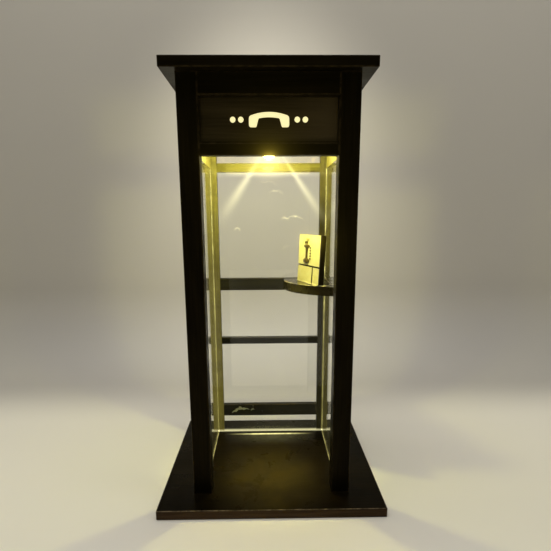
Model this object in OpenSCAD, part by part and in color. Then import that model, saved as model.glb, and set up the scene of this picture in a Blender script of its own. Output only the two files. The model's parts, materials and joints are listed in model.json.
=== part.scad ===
// A table-top telephone booth lamp: a dark wooden booth with three clear walls, an open front,
// a lit sign in its header, and a small telephone on a corner shelf.
// Millimetres. +Z is up and -Y is the front. The origin is the middle of the base plate's underside.

/* [Base] */
// Width of the base plate, left to right
base_w = 160; // [140:1:220]
// Depth of the base plate, front to back
base_d = 160; // [144:1:220]
// Thickness of the base plate
base_t = 7; // [6:0.5:15]
// Radius of the base plate's eased edges
base_ease = 1; // [0.4:0.1:2.5]

/* [Booth] */
// Width over the posts
booth_w = 113; // [100:1:136]
// Depth over the posts
booth_d = 119; // [105:1:140]
// Height of the posts
booth_h = 281; // [250:1:340]
// How far the booth's middle lies behind the base plate's middle
set_back = 1.5; // [-1:0.5:2]
// Side of the square posts
post_w = 13; // [12:0.5:16]
// Radius of the eased long edges of posts and rails
post_ease = 0.6; // [0.2:0.1:1.2]

/* [Front frame] */
// Height of the top rail, under the roof
top_rail_h = 13; // [11:0.5:20]
// Height of the sign window
sign_h = 27.6; // [22:0.2:36]
// Height of the lintel, under the sign window
lintel_h = 7.2; // [5:0.2:12]
// Front to back depth of the lintel and the top rail
lintel_t = 8; // [7:0.5:11]
// Width of the bead round the sign window
bead_w = 0.9; // [0.6:0.1:2]
// How far the sign panel's face lies behind the posts' faces
sign_sunk = 4; // [2.5:0.5:5]
// Thickness of the sign panel
sign_t = 2; // [1.5:0.5:3]
// Thickness of the pale sheet behind the sign panel
diffuser_t = 1.5; // [1:0.5:3]

/* [Back frame] */
// Front to back depth of the back rails
rail_t = 6; // [5:0.5:7]
// Height of the lowest back rail
low_rail_h = 11; // [8:0.5:14]
// Gap between the base plate and the lowest back rail
low_rail_z = 15; // [8:0.5:24]
// Height of the middle back rail
mid_rail_h = 6; // [5:0.5:10]
// Height of the middle back rail's underside above the base plate
mid_rail_z = 84.5; // [60:0.5:100]
// Height of the upper back rail
upper_rail_h = 10.6; // [9:0.2:16]
// Height of the upper back rail's underside above the base plate
upper_rail_z = 133.5; // [120:0.5:150]

/* [Clear walls] */
// Thickness of the clear walls
panel_t = 3; // [2:0.5:3.5]
// Distance from a post's inner side to a side wall's inner face
panel_in = 4.9; // [4:0.1:6]
// Depth of the groove in the back of each front post
groove_deep = 4; // [2.5:0.5:6]
// Play on each side of a clear wall in its groove
panel_play = 0.1; // [0.05:0.05:0.3]
// How far the back wall reaches up behind the header rail
back_wall_lap = 2.5; // [1:0.5:6]

/* [Header] */
// Height of the side boards of the header
side_board_h = 45.2; // [40:0.2:60]
// Thickness of the side boards of the header
side_board_t = 7; // [5:0.5:7]
// Distance from the roof down to the top of the ceiling board
ceiling_down = 26; // [22:0.5:30]
// Thickness of the ceiling board
ceiling_t = 3; // [2.5:0.5:5]
// Side of the square cleats under the ceiling board
cleat_w = 6; // [5:0.5:8]
// Length of the cleats
cleat_l = 76; // [70:1:84]

/* [Roof] */
// How far the roof stands out over the posts
roof_over = 8.6; // [4:0.2:14]
// Thickness of the roof board
roof_t = 6.3; // [4:0.1:12]
// Width of the battens under the roof
batten_w = 4; // [3:0.5:6]
// Height of the battens under the roof
batten_h = 6; // [4:0.5:9]
// Length of the battens under the roof
batten_l = 80; // [40:1:84]
// Play between the roof's battens and the side boards
batten_play = 0.5; // [0.3:0.1:1]

/* [Shelf and telephone] */
// Thickness of the corner shelf
shelf_t = 7; // [5:0.5:9]
// Width of the corner shelf
shelf_w = 36; // [32:0.5:46]
// Radius of the shelf's curved front
shelf_r = 50; // [46:0.5:70]
// Straight length of the shelf's end, from the back wall
shelf_flat = 14; // [10:0.5:18]
// Length of the telephone's board
phone_l = 43; // [36:0.5:45]
// Height of the telephone's board
phone_h = 38; // [32:0.5:44]
// Thickness of the telephone's board
phone_t = 3.6; // [3:0.1:5]
// Thickness of the pale face on the board
face_t = 1; // [0.8:0.1:2]
// Angle between the telephone's board and the side wall
phone_turn = 18; // [10:1:22]
// Lean of the telephone's board towards the side wall
phone_lean = 3; // [0:1:6]

/* [Lamp] */
// Outer diameter of the lamp housing
lamp_d = 30; // [26:1:36]
// Height of the lamp housing
lamp_h = 10; // [9:0.5:14]
// Wall of the lamp housing
lamp_wall = 1.5; // [1:0.25:2.5]
// Diameter of the lens that shows below the housing
lens_d = 13; // [9:0.5:16]
// How far the lens stands out below the housing
lens_drop = 4; // [2:0.5:6]

/* [Battery and switch] */
// Diameter of a battery cell
cell_d = 10.5; // [9.5:0.5:11]
// Length of a battery cell
cell_l = 44.5; // [38:0.5:46]
// Play round each cell in the holder
cell_play = 0.3; // [0.2:0.1:0.6]
// Width of the switch bezel
switch_w = 15; // [13:0.5:20]
// Height of the switch bezel
switch_h = 10; // [9:0.5:10.5]
// Angle through which the rocker tips
rocker_swing = 16; // [10:1:20]

/* [Screws] */
// Diameter of the wood screws
screw_d = 2.5; // [2:0.5:3]
// Play round a screw
screw_play = 0.1; // [0.05:0.05:0.2]

/* [Hidden] */
$fn = 48;

wood = [0.13, 0.09, 0.06];
wood_inside = [0.30, 0.22, 0.12];
clear = [0.85, 0.90, 0.88, 0.35];
cream = [0.93, 0.88, 0.68];
metal = [0.72, 0.72, 0.70];

// Heights in the frame
top_z = base_t + booth_h;
top_rail_z = top_z - top_rail_h;
sign_z = top_rail_z - sign_h;
lintel_z = sign_z - lintel_h;
side_board_z = top_z - side_board_h;
ceiling_z = top_z - ceiling_down - ceiling_t;
shelf_top = base_t + upper_rail_z + upper_rail_h;

// Places across the frame
post_x = booth_w / 2;
post_in = post_x - post_w;
front_y = set_back - booth_d / 2;
back_y = set_back + booth_d / 2;
side_in = post_in + panel_in;
side_out = side_in + panel_t;
rail_y = back_y - rail_t;
back_in = rail_y - panel_t;
front_post_back = front_y + post_w;
back_post_front = back_y - post_w;
back_wall_top = top_rail_z + back_wall_lap;

// Screws
screw_head_d = 2 * screw_d;
screw_head_h = screw_d / 2;
post_screw_in = 3.3;
post_screw_bite = 14;
shelf_screw_bite = 9;
ceiling_screw_bite = 4.5;
post_screw_l = base_t + post_screw_bite;
shelf_screw_l = rail_t + panel_t + shelf_screw_bite;
ceiling_screw_l = ceiling_t + ceiling_screw_bite;
lamp_screw_l = 4.2;
shelf_screw_left_in = 8;
shelf_screw_right_in = 6;
ceiling_screw_y = 30;
hole = 2 * screw_play;
tip_room = 0.3;
slot_w = 0.5;
slot_deep = 0.6;

// Lamp, hung under the middle of the ceiling board
lamp_y = set_back;
lamp_z = ceiling_z - lamp_h;
lens_flange_t = 1;
lens_flange_w = 1.5;
lens_cap_h = 0.375 * lens_d;
lens_play = 0.25;
ring_t = 0.8;
ring_w = 2;
reflector_wall = 0.8;
reflector_top_d = 9.5;
board_t = 1.2;
board_play = 0.3;
led_w = 5;
led_h = 1.4;
led_board_z = ceiling_z - 3.2;
lamp_ear_x = lamp_d / 2 + 2.5;
ear_t = 1.6;
ear_w = 8;
lead_hole_d = 7;
sign_gap = 2;

// Battery holder, on the ceiling board
cells = 3;
cell_gap = 0.6;
cell_pitch = cell_d + 2 * cell_play + cell_gap;
cell_nub_l = 1;
cell_nub_d = 3.8;
holder_wall = 1.4;
contact_t = 0.5;
contact_w = 7;
contact_h = 8;
spring_l = 2.2;
spring_play = 0.1;
spring_tip_d = 4;
holder_w = cells * cell_pitch + 2 * holder_wall - cell_gap;
holder_l = cell_l + 2 * holder_wall + 2 * contact_t + spring_l;
holder_h = 0.8 * cell_d + holder_wall;
holder_gap = 1;
holder_x = -(side_in - batten_play - batten_w - holder_gap) + holder_w / 2;
holder_z = ceiling_z + ceiling_t;
first_cell_x = holder_x - holder_w / 2 + holder_wall + cell_d / 2 + cell_play;
last_cell_x = first_cell_x + (cells - 1) * cell_pitch;
cell_lift = 0.1;
cell_z = holder_z + holder_wall + cell_d / 2 + cell_lift;

// Switch, in the back header rail
switch_x = 22;
switch_up = 1;
switch_z = top_rail_z + top_rail_h / 2 + switch_up;
bezel_side_lap = 1;
bezel_top_lap = 0.8;
switch_wall = 1.5;
switch_behind = 5;
switch_body_w = switch_w - 2 * bezel_side_lap;
switch_body_h = switch_h - 2 * bezel_top_lap;
switch_body_l = rail_t + switch_behind;
switch_play = 0.15;
bezel_t = 1.2;
key_room = 3.4;
rocker_w = switch_body_w - 2 * switch_wall;
rocker_h = switch_body_h - 2 * switch_wall;
rocker_end_gap = 0.5;
rocker_hub_r = 1.7;
rocker_rise = 0.6;
rocker_waist = 0.9;
rocker_back = 0.3;
rocker_play = 0.35;
rocker_pin_d = 1.6;
rocker_pin_play = 0.05;
rocker_pin_in = 0.6;
rocker_pin_y = back_y - rocker_pin_in;
rocker_pin_h = rocker_h + 1.8;
tab_apart = 3.2;
tab_t = 0.6;
tab_w = 3;
tab_l = 4;

// Telephone, standing on the shelf
phone_side_gap = 6.9;
phone_back_gap = 12.6;
phone_x = side_in - phone_side_gap;
phone_y = back_in - phone_back_gap - phone_l * cos(phone_turn);
line_w = 1.3;
door_gap = 2.4;
box_share = 0.34;
door_share = 0.27;
handset_share = 0.60;
handset_low = 0.46;
handset_high = 0.75;
cup_w = 12;
cup_h = 4.4;
cup_t = 1.6;
grip_w = 5;
grip_t = 1.2;
prong_x = 1.25;
prong_w = 0.9;
prong_h = 1.9;
prong_t = 1.4;
button_share = 0.42;
button_d = 1.3;
button_t = 0.6;
button_first = 0.51;
button_step = 0.056;
plate_share = 0.57;
plate_z_share = 0.9;
plate_w = 6;
plate_h = 2;
plate_t = 0.4;

// ---------- shared shapes ----------

// A rectangle on [0, 0] with round corners
module round_rect(w, d, r) {
    translate([r, 0]) square([w - 2 * r, d]);
    translate([0, r]) square([w, d - 2 * r]);
    for (x = [r, w - r], y = [r, d - r]) translate([x, y]) circle(r);
}

// A block whose long edges, which run up, are eased
module upright(size, r) {
    linear_extrude(size[2]) round_rect(size[0], size[1], r);
}

// A block whose long edges, which run left to right, are eased
module crossways(size, r) {
    rotate([90, 0, 90]) linear_extrude(size[0]) round_rect(size[1], size[2], r);
}

// A block with all its edges eased
module eased_board(size, r) {
    intersection() {
        upright(size, r);
        crossways(size, r);
        translate([0, size[1], 0]) rotate([90, 0, 0])
            linear_extrude(size[1]) round_rect(size[0], size[2], r);
    }
}

// The same shape on the left and on the right
module both_sides() {
    children();
    mirror([1, 0, 0]) children();
}

// A countersunk screw that points up, its head flush with z = 0
module screw(length) {
    difference() {
        union() {
            cylinder(h = length, d = screw_d);
            cylinder(h = screw_head_h, d1 = screw_head_d, d2 = screw_d);
        }
        for (a = [0, 90]) rotate([0, 0, a])
            translate([-screw_d * 0.6, -slot_w / 2, slot_deep - 2]) cube([screw_d * 1.2, slot_w, 2]);
    }
}

// The room that a screw and its head need
module screw_hole(length) {
    translate([0, 0, -1]) cylinder(h = length + 1 + tip_room, d = screw_d + hole);
    cylinder(h = screw_head_h + 0.05, d1 = screw_head_d + hole, d2 = screw_d + hole);
    translate([0, 0, -1]) cylinder(h = 1.001, d = screw_head_d + hole);
}

// Where the four base screws stand
module at_base_screws() {
    for (x = [-1, 1], y = [front_y + post_screw_in, back_y - post_screw_in])
        translate([x * (post_x - post_screw_in), y, 0]) children();
}

// Where the two shelf screws lie, their heads in the upper back rail
module at_shelf_screws() {
    for (x = [side_in - shelf_w + shelf_screw_left_in, post_in - shelf_screw_right_in])
        translate([x, back_y, shelf_top - shelf_t / 2]) rotate([90, 0, 0]) children();
}

// Where the four ceiling screws stand, pointing down into the cleats
module at_ceiling_screws() {
    for (x = [-1, 1], y = [-1, 1])
        translate([x * (side_in - cleat_w / 2), lamp_y + y * ceiling_screw_y, ceiling_z + ceiling_t])
            rotate([180, 0, 0]) children();
}

// Where the two lamp screws stand, pointing up through the housing's ears
module at_lamp_screws() {
    for (x = [-1, 1]) translate([x * lamp_ear_x, lamp_y, ceiling_z - ear_t]) children();
}

// ---------- leads ----------

function unit(v) = v / norm(v);

// A point of the smooth curve through a, b, c and d, at t between b and c
function curve_at(a, b, c, d, t) =
    0.5 * (2 * b + (c - a) * t + (2 * a - 5 * b + 4 * c - d) * t * t
        + (3 * b - 3 * c + d - a) * t * t * t);

// The whole curve through the points p, with n steps between two of them
function route(p, n) = concat(
    [for (i = [0 : len(p) - 2], k = [0 : n - 1])
        curve_at(p[max(i - 1, 0)], p[i], p[i + 1], p[min(i + 2, len(p) - 1)], k / n)],
    [p[len(p) - 1]]);

// The direction of the curve q at its point i
function along(q, i) = unit(q[min(i + 1, len(q) - 1)] - q[max(i - 1, 0)]);

// A round lead of diameter d along the points p; ref is never in line with it
module lead(p, d, ref, sides = 8, steps = 4) {
    q = route(p, steps);
    rings = len(q);
    points = [for (i = [0 : rings - 1])
        let (t = along(q, i), s = unit(cross(t, ref)), u = cross(s, t))
        for (k = [0 : sides - 1]) let (a = 360 * k / sides)
            q[i] + d / 2 * (cos(a) * s + sin(a) * u)];
    walls = [for (i = [0 : rings - 2], k = [0 : sides - 1])
        let (m = (k + 1) % sides)
        [i * sides + k, (i + 1) * sides + k, (i + 1) * sides + m, i * sides + m]];
    ends = [[for (k = [0 : sides - 1]) k],
        [for (k = [sides - 1 : -1 : 0]) (rings - 1) * sides + k]];
    polyhedron(points = points, faces = concat(walls, ends), convexity = 6);
}

lead_d = 1.3;
lead_gap = 0.25;
hole_lead_x = 1.6;
tab_end_y = back_y - switch_body_l - tab_l;
holder_back_y = lamp_y + holder_l / 2;
lead_z = holder_z + 6;

// ---------- base and frame ----------

module base_plate() {
    color(wood) difference() {
        translate([-base_w / 2, -base_d / 2, 0]) eased_board([base_w, base_d, base_t], base_ease);
        at_base_screws() screw_hole(base_t);
    }
}

// Right front post, with the groove that holds the side wall
module front_post() {
    color(wood) difference() {
        translate([post_in, front_y, base_t]) upright([post_w, post_w, booth_h], post_ease);
        translate([side_in - panel_play, front_post_back - groove_deep, base_t - 1])
            cube([panel_t + 2 * panel_play, groove_deep + 1, booth_h + 2]);
        at_base_screws() screw_hole(post_screw_l);
    }
}

// Right back post, with the rebate that holds the side wall and the back wall
module back_post() {
    color(wood) difference() {
        translate([post_in, back_post_front, base_t]) upright([post_w, post_w, booth_h], post_ease);
        translate([post_in - 1, back_post_front - 1, base_t - 1])
            cube([side_out + panel_play - post_in + 1, rail_y - back_post_front + 1, booth_h + 2]);
        at_base_screws() screw_hole(post_screw_l);
    }
}

module front_left_post() mirror([1, 0, 0]) front_post();
module front_right_post() front_post();
module back_left_post() mirror([1, 0, 0]) back_post();
module back_right_post() back_post();

// A rail between the two front posts
module front_rail(z, h) {
    color(wood) translate([-post_in, front_y, z]) crossways([2 * post_in, lintel_t, h], post_ease);
}

// A rail between the two back posts
module back_rail(z, h) {
    color(wood) translate([-post_in, rail_y, z]) crossways([2 * post_in, rail_t, h], post_ease);
}

module front_lintel() front_rail(lintel_z, lintel_h);
module front_top_rail() front_rail(top_rail_z, top_rail_h);
module back_transom_rail() back_rail(lintel_z, lintel_h);
module back_middle_rail() back_rail(base_t + mid_rail_z, mid_rail_h);
module back_lower_rail() back_rail(base_t + low_rail_z, low_rail_h);

module back_upper_rail() {
    difference() {
        back_rail(base_t + upper_rail_z, upper_rail_h);
        at_shelf_screws() screw_hole(rail_t + 1);
    }
}

module back_header_rail() {
    color(wood) difference() {
        back_rail(top_rail_z, top_rail_h);
        translate([switch_x - switch_body_w / 2 - switch_play, rail_y - 1,
                switch_z - switch_body_h / 2 - switch_play])
            cube([switch_body_w + 2 * switch_play, rail_t + 2, switch_body_h + 2 * switch_play]);
    }
}

// ---------- sign ----------

module sign_bead() {
    face_y = front_y + 1;
    depth = sign_sunk - 1;
    color(wood_inside) {
        for (z = [sign_z, top_rail_z - bead_w])
            translate([-post_in, face_y, z]) cube([2 * post_in, depth, bead_w]);
        for (x = [-post_in, post_in - bead_w])
            translate([x, face_y, sign_z + bead_w]) cube([bead_w, depth, sign_h - 2 * bead_w]);
    }
}

module sign_panel() {
    color([0.16, 0.13, 0.10]) translate([-post_in, front_y + sign_sunk, sign_z])
        cube([2 * post_in, sign_t, sign_h]);
}

module sign_diffuser() {
    color(cream) translate([-post_in, front_y + sign_sunk + sign_t, sign_z])
        cube([2 * post_in, diffuser_t, sign_h]);
}

// ---------- header ----------

// Right side board; its tongues share the grooves that hold the side wall
module header_board() {
    tongue = panel_t;
    color(wood_inside) {
        translate([side_in, front_post_back, side_board_z])
            cube([side_board_t, back_post_front - front_post_back, side_board_h]);
        translate([side_in, front_post_back - groove_deep + panel_play, side_board_z])
            cube([tongue, groove_deep + 1, side_board_h]);
        translate([side_in, back_post_front - 1, side_board_z])
            cube([tongue, back_in - back_post_front + 1, side_board_h]);
    }
}

module left_header_board() mirror([1, 0, 0]) header_board();
module right_header_board() header_board();

module ceiling_board() {
    front = front_y + sign_sunk + sign_t + diffuser_t + sign_gap;
    color(cream) difference() {
        union() {
            translate([-side_in, front_post_back, ceiling_z])
                cube([2 * side_in, back_in - front_post_back, ceiling_t]);
            translate([-post_in, front, ceiling_z])
                cube([2 * post_in, front_post_back - front + 1, ceiling_t]);
        }
        at_ceiling_screws() screw_hole(ceiling_t + 1);
        at_lamp_screws() screw_hole(lamp_screw_l);
        translate([0, lamp_y, ceiling_z - 1]) cylinder(h = ceiling_t + 2, d = lead_hole_d);
    }
}

module ceiling_cleats() {
    color(wood_inside) difference() {
        both_sides() translate([side_in - cleat_w, lamp_y - cleat_l / 2, ceiling_z - cleat_w])
            cube([cleat_w, cleat_l, cleat_w]);
        at_ceiling_screws() screw_hole(ceiling_screw_l);
    }
}

// ---------- roof ----------

module roof_board() {
    w = booth_w + 2 * roof_over;
    d = booth_d + 2 * roof_over;
    color(wood) translate([-w / 2, front_y - roof_over, top_z]) eased_board([w, d, roof_t], post_ease);
}

module roof_battens() {
    color(wood_inside) both_sides()
        translate([side_in - batten_play - batten_w, lamp_y - batten_l / 2, top_z - batten_h])
            cube([batten_w, batten_l, batten_h]);
}

// ---------- clear walls ----------

module side_wall() {
    front = front_post_back - groove_deep + panel_play;
    color(clear) translate([side_in, front, base_t])
        cube([panel_t, back_in - front, side_board_z - base_t]);
}

module left_wall() mirror([1, 0, 0]) side_wall();
module right_wall() side_wall();

module back_wall() {
    color(clear) difference() {
        translate([-side_out, back_in, base_t]) cube([2 * side_out, panel_t, back_wall_top - base_t]);
        at_shelf_screws() translate([0, 0, rail_t - 1]) cylinder(h = panel_t + 2, d = screw_d + 2 * hole);
    }
}

// ---------- lamp ----------

module lamp_housing() {
    color([0.90, 0.90, 0.86]) difference() {
        union() {
            translate([0, lamp_y, lamp_z]) cylinder(h = lamp_h, d = lamp_d);
            translate([-lamp_ear_x, lamp_y - ear_w / 2, ceiling_z - ear_t])
                cube([2 * lamp_ear_x, ear_w, ear_t]);
            for (x = [-lamp_ear_x, lamp_ear_x])
                translate([x, lamp_y, ceiling_z - ear_t]) cylinder(h = ear_t, d = ear_w);
        }
        translate([0, lamp_y, lamp_z + lamp_wall]) cylinder(h = lamp_h, d = lamp_d - 2 * lamp_wall);
        translate([0, lamp_y, lamp_z - 1]) cylinder(h = lamp_wall + 2, d = lens_d + 2 * lens_play);
        at_lamp_screws() screw_hole(lamp_screw_l);
    }
}

// A dome on a thin flange that rests on the housing's floor
module lamp_lens() {
    r = lens_d / 2;
    dome_r = (r * r + lens_cap_h * lens_cap_h) / (2 * lens_cap_h);
    color([1, 1, 0.9]) translate([0, lamp_y, lamp_z]) {
        translate([0, 0, lamp_wall]) cylinder(h = lens_flange_t, d = lens_d + 2 * lens_flange_w);
        translate([0, 0, lens_cap_h - lens_drop])
            cylinder(h = lamp_wall + lens_drop - lens_cap_h + 0.1, d = lens_d);
        intersection() {
            translate([0, 0, dome_r - lens_drop]) sphere(r = dome_r, $fn = 64);
            translate([0, 0, -lens_drop - 1]) cylinder(h = lens_cap_h + 1, d = lens_d);
        }
    }
}

module lamp_ring() {
    color(metal) translate([0, lamp_y, lamp_z - ring_t]) difference() {
        cylinder(h = ring_t, d = lens_d + 2 * ring_w);
        translate([0, 0, -1]) cylinder(h = ring_t + 2, d = lens_d + 2 * lens_play);
    }
}

// A cone that stands on the lens flange and opens up to the circuit board
module lamp_reflector() {
    low = lamp_z + lamp_wall + lens_flange_t;
    h = led_board_z - low;
    low_d = lens_d - 1;
    out = 2 * reflector_wall;
    color(metal) translate([0, lamp_y, low]) difference() {
        cylinder(h = h, d1 = low_d + out, d2 = reflector_top_d + out);
        translate([0, 0, -0.01]) cylinder(h = h + 0.02, d1 = low_d, d2 = reflector_top_d);
    }
}

module led_board() {
    color([0.95, 0.95, 0.92]) translate([0, lamp_y, led_board_z])
        cylinder(h = board_t, d = lamp_d - 2 * lamp_wall - 2 * board_play);
}

module led_chip() {
    color([0.98, 0.85, 0.25]) translate([-led_w / 2, lamp_y - led_w / 2, led_board_z - led_h])
        cube([led_w, led_w, led_h]);
}

// ---------- battery and switch ----------

module battery_holder() {
    color([0.10, 0.10, 0.11]) difference() {
        translate([holder_x - holder_w / 2, lamp_y - holder_l / 2, holder_z])
            cube([holder_w, holder_l, holder_h]);
        for (i = [0 : cells - 1]) {
            x = first_cell_x + i * cell_pitch;
            translate([x - cell_d / 2 - cell_play, lamp_y - holder_l / 2 + holder_wall,
                    holder_z + holder_wall])
                cube([cell_d + 2 * cell_play, holder_l - 2 * holder_wall, holder_h]);
        }
    }
}

module battery_cells() {
    for (i = [0 : cells - 1]) {
        flip = i % 2 == 0 ? 1 : -1;
        translate([first_cell_x + i * cell_pitch, lamp_y, cell_z]) rotate([flip * 90, 0, 0])
            translate([0, 0, -cell_l / 2 + spring_l / 2]) {
                color([0.35, 0.36, 0.38]) cylinder(h = cell_l - cell_nub_l, d = cell_d);
                color(metal) cylinder(h = cell_l, d = cell_nub_d);
            }
    }
}

// A spring at one end of each cell and a plate at the other
module battery_contacts() {
    inner = holder_l / 2 - holder_wall;
    color(metal) for (i = [0 : cells - 1]) {
        flip = i % 2 == 0 ? 1 : -1;
        translate([first_cell_x + i * cell_pitch, lamp_y, cell_z]) rotate([0, 0, flip == 1 ? 180 : 0]) {
            for (y = [-inner, inner - contact_t])
                translate([-contact_w / 2, y, -contact_h / 2]) cube([contact_w, contact_t, contact_h]);
            translate([0, -inner + contact_t - 0.01, 0]) rotate([-90, 0, 0])
                cylinder(h = spring_l - spring_play, d1 = contact_w, d2 = spring_tip_d);
        }
    }
}

module switch_body() {
    color([0.08, 0.08, 0.09]) difference() {
        union() {
            translate([switch_x - switch_w / 2, back_y, switch_z - switch_h / 2])
                cube([switch_w, bezel_t, switch_h]);
            translate([switch_x - switch_body_w / 2, back_y - switch_body_l, switch_z - switch_body_h / 2])
                cube([switch_body_w, switch_body_l + 0.5, switch_body_h]);
        }
        translate([switch_x - rocker_w / 2 - rocker_play, back_y - key_room,
                switch_z - rocker_h / 2 - rocker_play])
            cube([rocker_w + 2 * rocker_play, key_room + 5, rocker_h + 2 * rocker_play]);
        translate([switch_x, rocker_pin_y, switch_z - rocker_pin_h / 2 - rocker_pin_play])
            cylinder(h = rocker_pin_h + 2 * rocker_pin_play, d = rocker_pin_d + 2 * rocker_pin_play);
    }
}

// A two-faced key that tips about an upright pin; it is shown pressed down on its left
module switch_rocker() {
    half = rocker_w / 2 - rocker_end_gap;
    tip = bezel_t + half * tan(rocker_swing / 2) + rocker_rise;
    color([0.55, 0.06, 0.05]) translate([switch_x, rocker_pin_y, switch_z]) {
        translate([0, 0, -rocker_pin_h / 2]) cylinder(h = rocker_pin_h, d = rocker_pin_d);
        translate([0, 0, -rocker_h / 2]) rotate([0, 0, rocker_swing / 2])
            linear_extrude(rocker_h) {
                circle(r = rocker_hub_r);
                polygon([[-half, rocker_back], [half, rocker_back], [half, tip],
                    [0, bezel_t + rocker_waist], [-half, tip]]);
            }
    }
}

module switch_tabs() {
    color(metal) for (x = [-1, 1])
        translate([switch_x + x * tab_apart - tab_w / 2, tab_end_y, switch_z - tab_t / 2])
            cube([tab_w, tab_l, tab_t]);
}

// From the last cell's spring to the switch's left tab
module battery_lead() {
    color([0.05, 0.05, 0.05]) lead([
        [last_cell_x, holder_back_y + lead_gap, lead_z],
        [last_cell_x + 3, holder_back_y + 5, lead_z + 1],
        [switch_x - 12, tab_end_y - 9, switch_z - 4], [switch_x - tab_apart, tab_end_y - 6, switch_z],
        [switch_x - tab_apart, tab_end_y - lead_gap, switch_z]], lead_d, [0, 0, 1]);
}

// From the switch's right tab down to the circuit board
module switch_lead() {
    color([0.05, 0.05, 0.05]) lead([
        [switch_x + tab_apart, tab_end_y - lead_gap, switch_z], [switch_x + tab_apart, tab_end_y - 7, switch_z],
        [18, lamp_y + 12, holder_z + 9], [6, lamp_y + 1, holder_z + 5],
        [hole_lead_x, lamp_y, ceiling_z + 2], [hole_lead_x, lamp_y, led_board_z + board_t + lead_gap]],
        lead_d, [1, -1, 0]);
}

// From the first cell's plate, round the holder's corner, to the circuit board
module return_lead() {
    front = lamp_y - holder_l / 2;
    side = holder_x + holder_w / 2;
    color([0.75, 0.08, 0.06]) lead([
        [first_cell_x, front - lead_gap, lead_z], [first_cell_x + 2, front - 4, lead_z],
        [holder_x, front - 6, lead_z - 1], [side - 3, front - 5, lead_z],
        [side + 3, front + 2, lead_z], [min(side + 3.5, -2.5), lamp_y - 14, lead_z],
        [-hole_lead_x - 0.4, lamp_y - 5, holder_z + 3.5],
        [-hole_lead_x, lamp_y, ceiling_z + 2], [-hole_lead_x, lamp_y, led_board_z + board_t + lead_gap]],
        lead_d, [0.2, 0.1, 0.05]);
}

// ---------- shelf and telephone ----------

// The shelf's outline: straight at the walls, one arc in front
module shelf_outline() {
    left = side_in - shelf_w;
    right = side_in - panel_play;
    arc_y = back_in - shelf_flat;
    translate([left, arc_y]) square([right - left, shelf_flat]);
    intersection() {
        translate([left + shelf_r, arc_y]) circle(shelf_r, $fn = 128);
        translate([left, arc_y - shelf_r]) square([right - left, shelf_r + 0.01]);
    }
}

module corner_shelf() {
    color(wood) difference() {
        translate([0, 0, shelf_top - shelf_t]) linear_extrude(shelf_t) shelf_outline();
        at_shelf_screws() translate([0, 0, rail_t + panel_t - 1])
            cylinder(h = shelf_screw_l - rail_t - panel_t + 1.3, d = screw_d + hole);
    }
}

// Places its children on the telephone: x along the board from its near end, y out of its face,
// z up its height, with y = 0 at the board's back
module on_phone() {
    translate([phone_x, phone_y, shelf_top]) rotate([0, 0, 90 + phone_turn])
        rotate([phone_lean, 0, 0]) children();
}

module telephone_board() {
    color(wood) on_phone() cube([phone_l, phone_t, phone_h]);
}

// The pale face in three plates; the gaps between them mark the lower box and its door
module telephone_face() {
    box_z = phone_h * box_share;
    door_x = phone_l * door_share;
    color(cream) on_phone() translate([0, phone_t, 0]) {
        cube([door_x, face_t, box_z]);
        translate([door_x + door_gap, 0, 0]) cube([phone_l - door_x - door_gap, face_t, box_z]);
        translate([0, 0, box_z + line_w]) cube([phone_l, face_t, phone_h - box_z - line_w]);
    }
}

// A cup of the handset: wide and low, with round ends
module handset_cup() rotate([-90, 0, 0]) {
    for (side = [-1, 1]) translate([side * (cup_w - cup_h) / 2, 0, 0]) cylinder(h = cup_t, d = cup_h);
    translate([(cup_h - cup_w) / 2, -cup_h / 2, 0]) cube([cup_w - cup_h, cup_h, cup_t]);
}

// A bar with a cup at each end
module telephone_handset() {
    low = phone_h * handset_low;
    high = phone_h * handset_high;
    color([0.25, 0.18, 0.10]) on_phone() translate([phone_l * handset_share, phone_t + face_t, 0]) {
        for (z = [low, high]) translate([0, 0, z]) handset_cup();
        translate([-grip_w / 2, 0, low]) cube([grip_w, grip_t, high - low]);
    }
}

// Two prongs that stand over the handset
module telephone_cradle() {
    color(metal) on_phone() for (side = [-1, 1])
        translate([phone_l * handset_share + side * prong_x - prong_w / 2, phone_t + face_t,
                phone_h * handset_high + cup_h / 2 + lead_gap])
            cube([prong_w, prong_t, prong_h]);
}

module telephone_buttons() {
    color([0.25, 0.18, 0.10]) on_phone() for (k = [0 : 4])
        translate([phone_l * button_share, phone_t + face_t, phone_h * (button_first + button_step * k)])
            rotate([-90, 0, 0]) cylinder(h = button_t, d = button_d);
}

// A small blank plate over the handset
module telephone_plate() {
    color([0.45, 0.38, 0.20]) on_phone()
        translate([phone_l * plate_share - plate_w / 2, phone_t + face_t,
                phone_h * plate_z_share - plate_h / 2])
            cube([plate_w, plate_t, plate_h]);
}

// ---------- screws ----------

module base_screws() color(metal) at_base_screws() screw(post_screw_l);
module shelf_screws() color(metal) at_shelf_screws() screw(shelf_screw_l);
module ceiling_screws() color(metal) at_ceiling_screws() screw(ceiling_screw_l);
module lamp_screws() color(metal) at_lamp_screws() screw(lamp_screw_l);

base_plate();
front_left_post();
front_right_post();
back_left_post();
back_right_post();
front_lintel();
front_top_rail();
sign_bead();
sign_panel();
sign_diffuser();
left_header_board();
right_header_board();
back_header_rail();
back_transom_rail();
back_upper_rail();
back_middle_rail();
back_lower_rail();
left_wall();
right_wall();
back_wall();
ceiling_board();
ceiling_cleats();
roof_board();
roof_battens();
lamp_housing();
lamp_reflector();
lamp_lens();
lamp_ring();
led_board();
led_chip();
battery_holder();
battery_cells();
battery_contacts();
switch_body();
switch_rocker();
switch_tabs();
battery_lead();
switch_lead();
return_lead();
corner_shelf();
telephone_board();
telephone_face();
telephone_handset();
telephone_cradle();
telephone_buttons();
telephone_plate();
base_screws();
shelf_screws();
ceiling_screws();
lamp_screws();
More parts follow.
